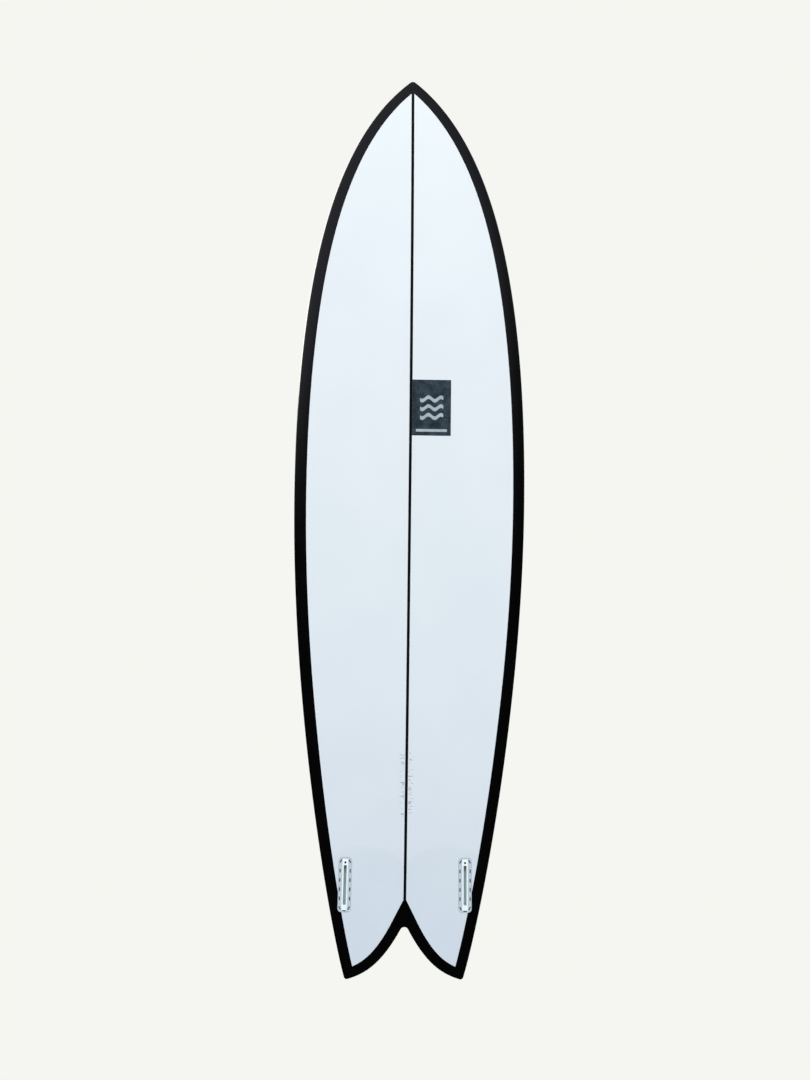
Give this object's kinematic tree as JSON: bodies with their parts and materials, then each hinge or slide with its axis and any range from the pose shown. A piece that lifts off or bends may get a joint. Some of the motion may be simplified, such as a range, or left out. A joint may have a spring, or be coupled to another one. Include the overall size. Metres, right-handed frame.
{
  "type": "surfboard",
  "caption": "Swallow-tail surfboard with a stringered foam core, white skins, a black rail lap, slotted fin boxes set in near the rails, and a leash plug.",
  "frame": {"origin": "on the centreline, level with the ends of the two tail tips and in line with the lowest line of the bottom's rocker, where an upright rack would carry the board", "axes": "+Z along the board to the nose; +Y out of the deck, so the bottom faces -Y; +X to the right when the bottom is looked at with the nose up"},
  "size_m": [0.552, 0.1259, 2.1838],
  "materials": {
    "white_laminate": "glossy resin over glass cloth",
    "black_laminate": "glossy black-tinted resin",
    "foam": "sanded closed-cell foam",
    "stringer_wood": "black-stained, sealed under resin",
    "glass_cloth": "woven glass wetted with resin",
    "label": "printed paper under resin",
    "box_plastic": "moulded, sanded flush",
    "cup_plastic": "moulded",
    "steel": "stainless"
  },
  "bodies": {
    "board": {"bottom_skin_left": "white_laminate", "bottom_skin_right": "white_laminate", "deck_skin_left": "white_laminate", "deck_skin_right": "white_laminate", "rail_lap": "black_laminate", "foam_tail_left": "foam", "foam_tail_right": "foam", "foam_middle_left": "foam", "foam_middle_right": "foam", "foam_nose_left": "foam", "foam_nose_right": "foam", "stringer": "stringer_wood", "tail_patch_left": "glass_cloth", "tail_patch_right": "glass_cloth", "bottom_label": "label", "fin_box_left": "box_plastic", "fin_box_right": "box_plastic", "leash_cup": "cup_plastic", "leash_bar": "steel"},
    "left_screw": {"fin_screw_left": "steel"},
    "right_screw": {"fin_screw_right": "steel"}
  },
  "joints": [
    {"name": "left_screw_travel", "type": "slide", "parent": "board", "child": "left_screw", "axis": [0.0087, -0.9008, 0.4342], "range_m": [-0.0035, 0.0015]},
    {"name": "right_screw_travel", "type": "slide", "parent": "board", "child": "right_screw", "axis": [-0.0087, -0.9008, 0.4342], "range_m": [-0.0035, 0.0015]}
  ]
}
